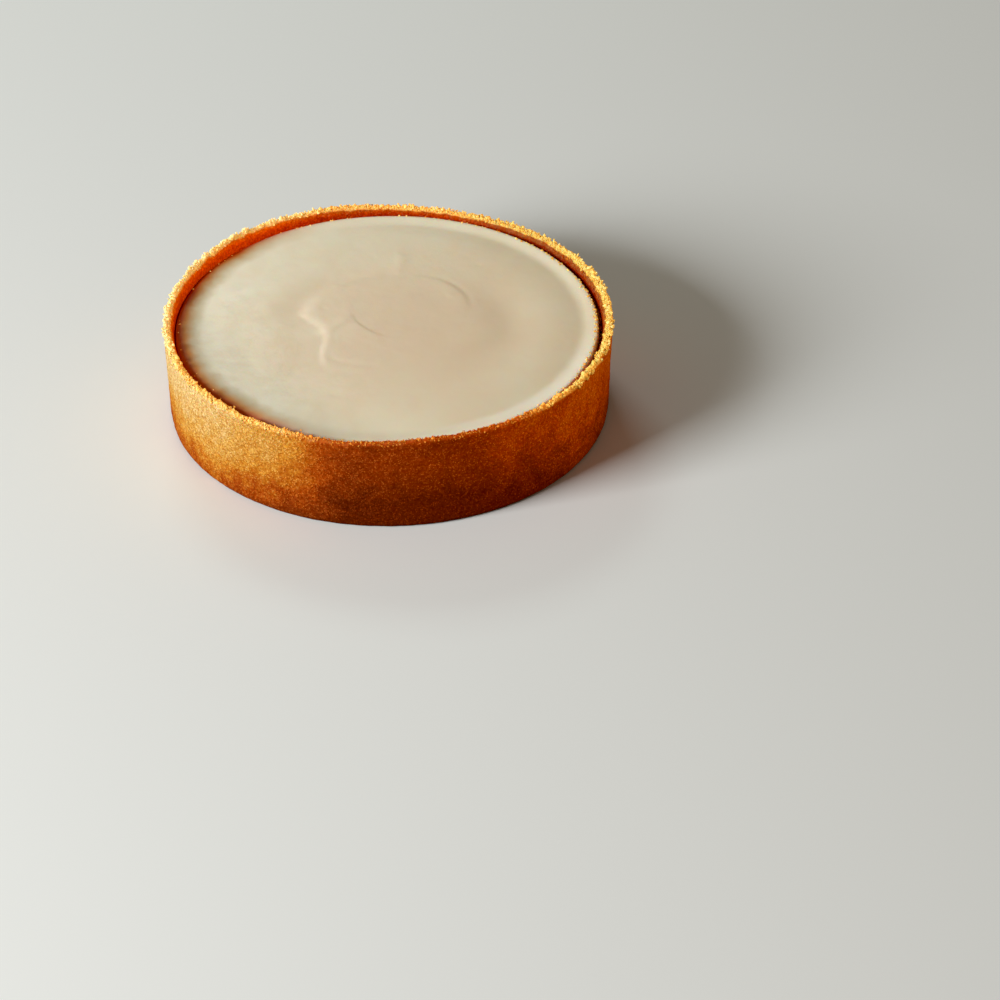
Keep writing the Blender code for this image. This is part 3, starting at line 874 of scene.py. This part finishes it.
# crumbs that fell on the filling's edge, most of them on the right
n_right, n_all = 300, 90
deg = np.concatenate([rng.normal(14, 30, n_right), rng.uniform(0, 360, n_all)])
deg = deg + 3.0 * np.sin(deg * 1.7)
shift = (0.9 * 1.1 - 0.6) * facing_right(deg)
rad = 107.6 - np.abs(rng.normal(0, 0.9, len(deg))) - shift
t = np.clip((rad + shift - 105.6) / 3.3, 0, 1)
fallen = np.stack([rad * np.cos(np.radians(deg)), rad * np.sin(np.radians(deg)),
                   FILL_TOP / MM - 3.6 * (1 - np.sqrt(1 - t * t)) + 0.12], -1)
size = rng.lognormal(math.log(0.36), 0.35, len(deg)).clip(0.2, 0.8) * MM
tint = 0.62 + rng.uniform(-0.3, 0.25, len(deg))
# and crumbs down in the gap on the right, tinted dark red, partly painted shade of the crevice
deg = rng.uniform(-52, 68, 620)
rad = 108.7 + rng.uniform(-0.45, 0.35, len(deg))
gap = np.stack([rad * np.cos(np.radians(deg)), rad * np.sin(np.radians(deg)), rng.uniform(42.6, 44.2, len(deg))], -1)
fallen = np.concatenate([fallen, gap])
size = np.concatenate([size, rng.uniform(0.45, 0.70, len(deg)) * MM])
tint = np.concatenate([tint, rng.uniform(0.05, 0.46, len(deg))])
drop = scatter("fallen_crumbs", rng, fallen * MM, size, 1, True, tint)
drop.data.materials.append(crumb_look)
for ob in (big, fine, drop):
    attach(ob, "root")

# ------------------------------------------------------------------ stage, light, camera
floor_mesh = bpy.data.meshes.new("floor")
floor_mesh.from_pydata([(-8, -8, 0), (8, -8, 0), (8, 8, 0), (-8, 8, 0)], [], [(0, 1, 2, 3)])
floor = bpy.data.objects.new("floor", floor_mesh)
bpy.context.scene.collection.objects.link(floor)
fm = Nodes("floor_look")
fm.shader.inputs["Base Color"].default_value = (*srgb(235, 241, 242), 1.0)
fm.shader.inputs["Roughness"].default_value = 0.9
floor.data.materials.append(fm.mat)
floor.visible_diffuse = False

world = bpy.data.worlds.new("studio")
world.use_nodes = True
world.node_tree.nodes["Background"].inputs["Color"].default_value = (1.0, 0.72, 0.48, 1.0)
world.node_tree.nodes["Background"].inputs["Strength"].default_value = 0.15
bpy.context.scene.world = world


def softbox(name, azimuth, elevation, distance, size, power, colour, aim=(0, 0, 0.03)):
    """An area light, placed by compass angle about the cake (0 = +X, counter-clockwise) and height."""
    a, e = math.radians(azimuth), math.radians(elevation)
    light = bpy.data.lights.new(name, "AREA")
    light.shape = "RECTANGLE"
    light.size, light.size_y = size
    light.energy = power
    light.color = colour
    ob = bpy.data.objects.new(name, light)
    where = Vector((math.cos(a) * math.cos(e), math.sin(a) * math.cos(e), math.sin(e))) * distance
    ob.location = Vector(aim) + where
    ob.rotation_euler = (-where).to_track_quat("-Z", "Y").to_euler()
    ob.visible_camera = False
    bpy.context.scene.collection.objects.link(ob)
    return ob


softbox("key", 212, 23, 2.6, (1.1, 1.0), 95, (0.99, 0.978, 0.957))
softbox("rear", 106, 36, 1.9, (0.6, 0.4), 5.5, (0.88, 1.0, 0.96))
glow = softbox("side", -34, 42, 1.7, (0.6, 0.5), 26, (1.0, 0.55, 0.26))
# the low warm light is flagged off the floor and the filling, and only lights the crust
lit = bpy.data.collections.new("lit_by_side")
for ob in (crust, big, fine, drop):
    lit.objects.link(ob)
glow.light_linking.receiver_collection = lit

R = CAKE_R
cam = bpy.data.cameras.new("camera")
cam.sensor_width = 36.0
cam.lens = 126.98
camera = bpy.data.objects.new("camera", cam)
pitch, roll = math.radians(35.481), math.radians(0.2146)
cp, sp, cr, sr = math.cos(pitch), math.sin(pitch), math.cos(roll), math.sin(roll)
look, up, right = Vector((0, cp, -sp)), Vector((0, sp, cp)), Vector((1, 0, 0))
right2, up2 = cr * right + sr * up, -sr * right + cr * up
rot = Matrix((right2, up2, -look)).transposed()
camera.matrix_world = Matrix.Translation((0.50091 * R, -13.3019 * R, 8.92588 * R)) @ rot.to_4x4()
cam.clip_end = 50
bpy.context.scene.collection.objects.link(camera)
bpy.context.scene.camera = camera

view = bpy.context.scene.view_settings
view.view_transform = "Standard"
view.look = "None"
view.exposure = 0.0
view.gamma = 1.0
view.use_curve_mapping = True
view.curve_mapping.black_level = (0.0035, 0.0035, 0.0035)
view.curve_mapping.update()
